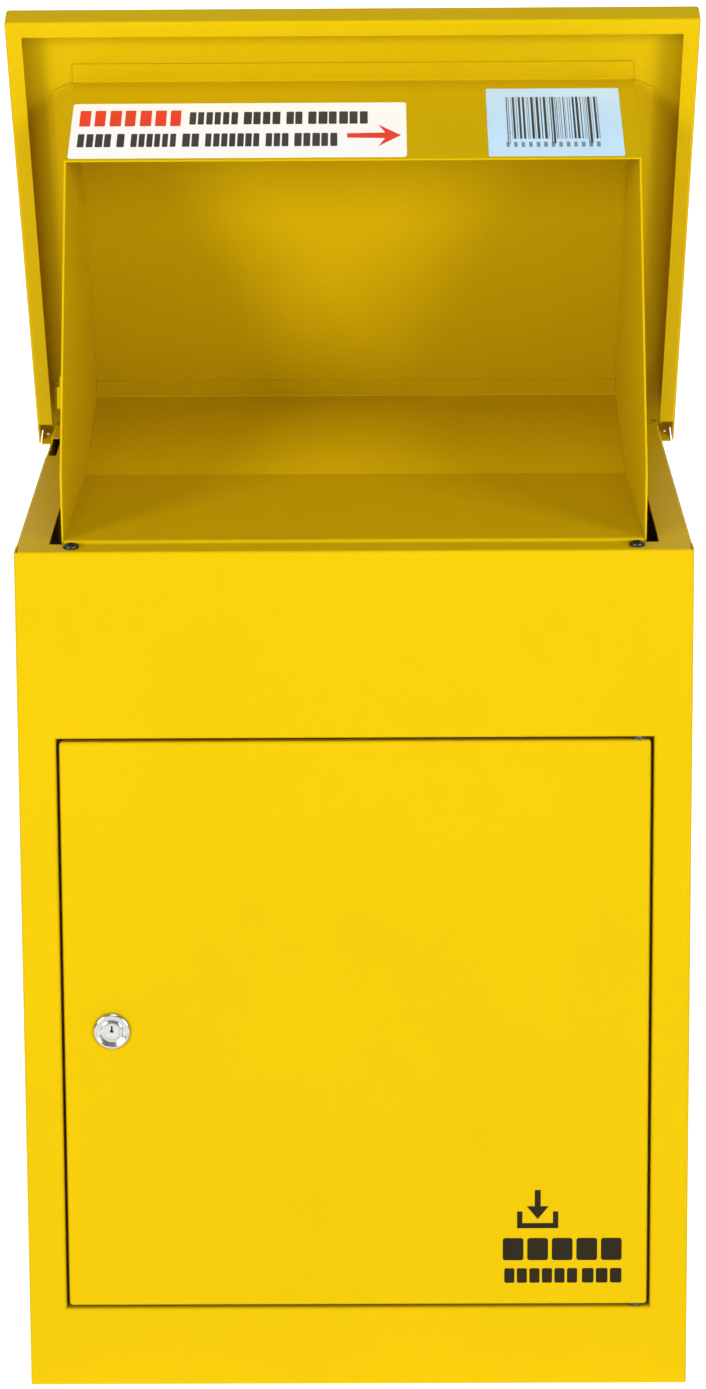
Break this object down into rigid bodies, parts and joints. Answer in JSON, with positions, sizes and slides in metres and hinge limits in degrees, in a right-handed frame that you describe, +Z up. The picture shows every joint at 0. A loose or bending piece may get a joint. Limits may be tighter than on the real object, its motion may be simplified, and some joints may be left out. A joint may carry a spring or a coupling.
{
  "type": "mailbox",
  "caption": "Top-loading parcel mailbox: folded steel box with a lidded swinging hopper above and a flush, cam-locked retrieval door below.",
  "frame": {"origin": "centre of the base underside, which is the centre of the floor anchor pattern", "axes": "+Z up, front face towards -Y, +X to the right seen from the front"},
  "size_m": [0.44, 0.3128, 0.8621],
  "materials": {
    "yellow_coat": "fine powder coat, satin",
    "zinc": "bright zinc plate",
    "chrome": "polished",
    "black_steel": "black zinc",
    "foam": "matte foam",
    "rubber": "matte",
    "nylon": "matte",
    "white_film": "satin film",
    "blue_film": "satin film"
  },
  "bodies": {
    "body": {"front_panel": "yellow_coat", "left_side_panel": "yellow_coat", "right_side_panel": "yellow_coat", "back_panel": "yellow_coat", "base_panel": "yellow_coat", "door_stop_frame": "yellow_coat", "door_seal": "foam", "strike_plate": "zinc", "door_pins": "zinc", "flange_screws": "black_steel", "stop_blocks": "rubber", "flange_nuts": "zinc", "hinge_body_leaf": "zinc", "hinge_pin": "zinc", "hinge_rivets": "zinc", "friction_barrel": "black_steel"},
    "door": {"door_panel": "yellow_coat", "door_stiffener": "yellow_coat", "door_bushes": "nylon", "lock_body": "chrome", "lock_nut": "zinc"},
    "lock_core": {"lock_plug": "chrome", "lock_cam": "zinc", "cam_screw": "zinc"},
    "lid": {"lid_panel": "yellow_coat", "hopper_left_cheek": "yellow_coat", "hopper_right_cheek": "yellow_coat", "cheek_lug": "yellow_coat", "hopper_hood": "yellow_coat", "hopper_floor": "yellow_coat", "hinge_lid_leaf": "zinc", "friction_arm": "yellow_coat", "arrow_label": "white_film", "code_label": "blue_film"}
  },
  "joints": [
    {"name": "lid_hinge", "type": "hinge", "parent": "body", "child": "lid", "pos_m": [0, 0.152, 0.5881], "axis": [1, 0, 0], "range_deg": [0, 69.1]},
    {"name": "door_hinge", "type": "hinge", "parent": "body", "child": "door", "pos_m": [0.1755, -0.143, 0.23], "axis": [0, 0, 1], "range_deg": [0, 110]},
    {"name": "lock_turn", "type": "hinge", "parent": "door", "child": "lock_core", "pos_m": [-0.1527, -0.148, 0.231], "axis": [0, -1, 0], "range_deg": [0, 90]}
  ]
}
